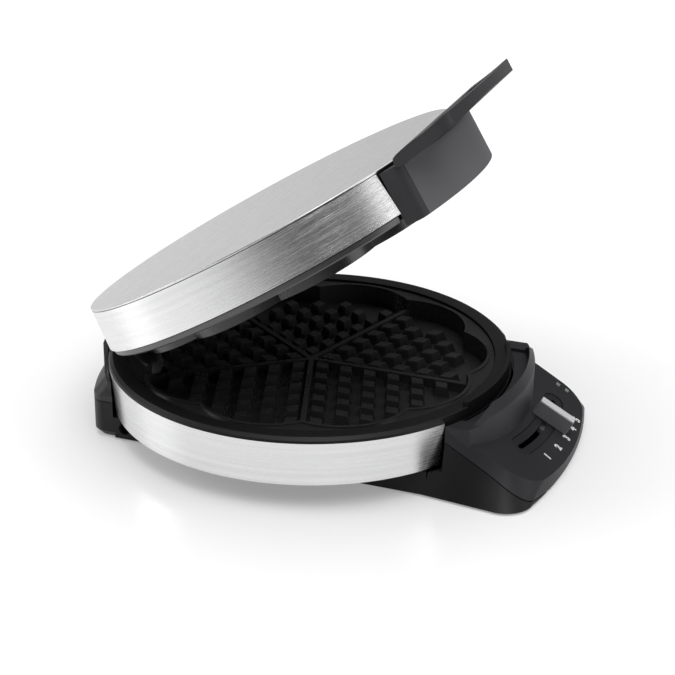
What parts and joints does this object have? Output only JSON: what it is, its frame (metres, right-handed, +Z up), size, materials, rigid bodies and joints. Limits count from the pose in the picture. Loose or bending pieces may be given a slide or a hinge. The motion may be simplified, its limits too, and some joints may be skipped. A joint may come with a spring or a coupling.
{
  "type": "heart waffle maker",
  "caption": "Round heart-pattern waffle maker with a hinged steel lid standing part open, a visor handle and a sloped front panel with a heat slider",
  "frame": {"origin": "on the table under the middle of the machine's outline with the lid part open", "axes": "+Z up, -Y towards the handle and the slider, +Y towards the hinge, +X to the right seen from the front"},
  "size_m": [0.23, 0.277, 0.2094],
  "materials": {
    "black_shell": "moulded black plastic",
    "control_black": "fine moulded black plastic",
    "insert_grey": "grained dark grey plastic",
    "track_black": "smooth black plastic",
    "knob_grey": "satin dark plastic",
    "strip_light": "light plastic strip",
    "brushed_steel": "brushed stainless sheet",
    "satin_trim": "satin metal ring",
    "nonstick": "cast aluminium with a dark nonstick coating",
    "heater_sheath": "heater sheath",
    "shield_sheet": "pressed sheet",
    "fastener_steel": "zinc plated steel",
    "thermostat_body": "phenolic thermostat body",
    "fuse_body": "fuse can",
    "terminal_body": "white terminal block",
    "board_green": "circuit board",
    "lens_red": "red lens",
    "lens_green": "green lens",
    "foot_rubber": "black rubber"
  },
  "bodies": {
    "base": {"base_shell": "black_shell", "bottom_cover": "black_shell", "rear_hinge_housing": "black_shell", "control_housing": "control_black", "slider_track": "track_black", "base_band": "brushed_steel", "lower_plate": "nonstick", "lower_heater": "heater_sheath", "lower_heat_shield": "shield_sheet", "base_screws": "fastener_steel", "lower_plate_screws": "fastener_steel", "hinge_pins": "fastener_steel", "thermostat": "thermostat_body", "thermal_fuse": "fuse_body", "terminal_block": "terminal_body", "indicator_board": "board_green", "power_lens": "lens_red", "ready_lens": "lens_green", "feet": "foot_rubber", "cord_bushing": "foot_rubber"},
    "lid": {"lid_top": "brushed_steel", "lid_band": "brushed_steel", "lid_trim": "satin_trim", "lid_shell": "black_shell", "lid_rear_cover": "black_shell", "upper_plate": "nonstick", "upper_heater": "heater_sheath", "upper_heat_shield": "shield_sheet", "upper_plate_screws": "fastener_steel", "handle_frame": "control_black", "front_insert": "insert_grey"},
    "slider": {"slider_knob": "knob_grey", "slider_strip": "strip_light", "slider_carriage": "knob_grey"}
  },
  "joints": [
    {"name": "lid_hinge", "type": "hinge", "parent": "base", "child": "lid", "pos_m": [0, 0.12152, 0.0511], "axis": [-1, 0, 0], "range_deg": [-31.08, 60]},
    {"name": "temperature_slider", "type": "hinge", "parent": "base", "child": "slider", "pos_m": [0.008, 0.0109, 0.08846], "axis": [0, -0.4818, 0.8763], "range_deg": [-15.2, 8.2]}
  ]
}
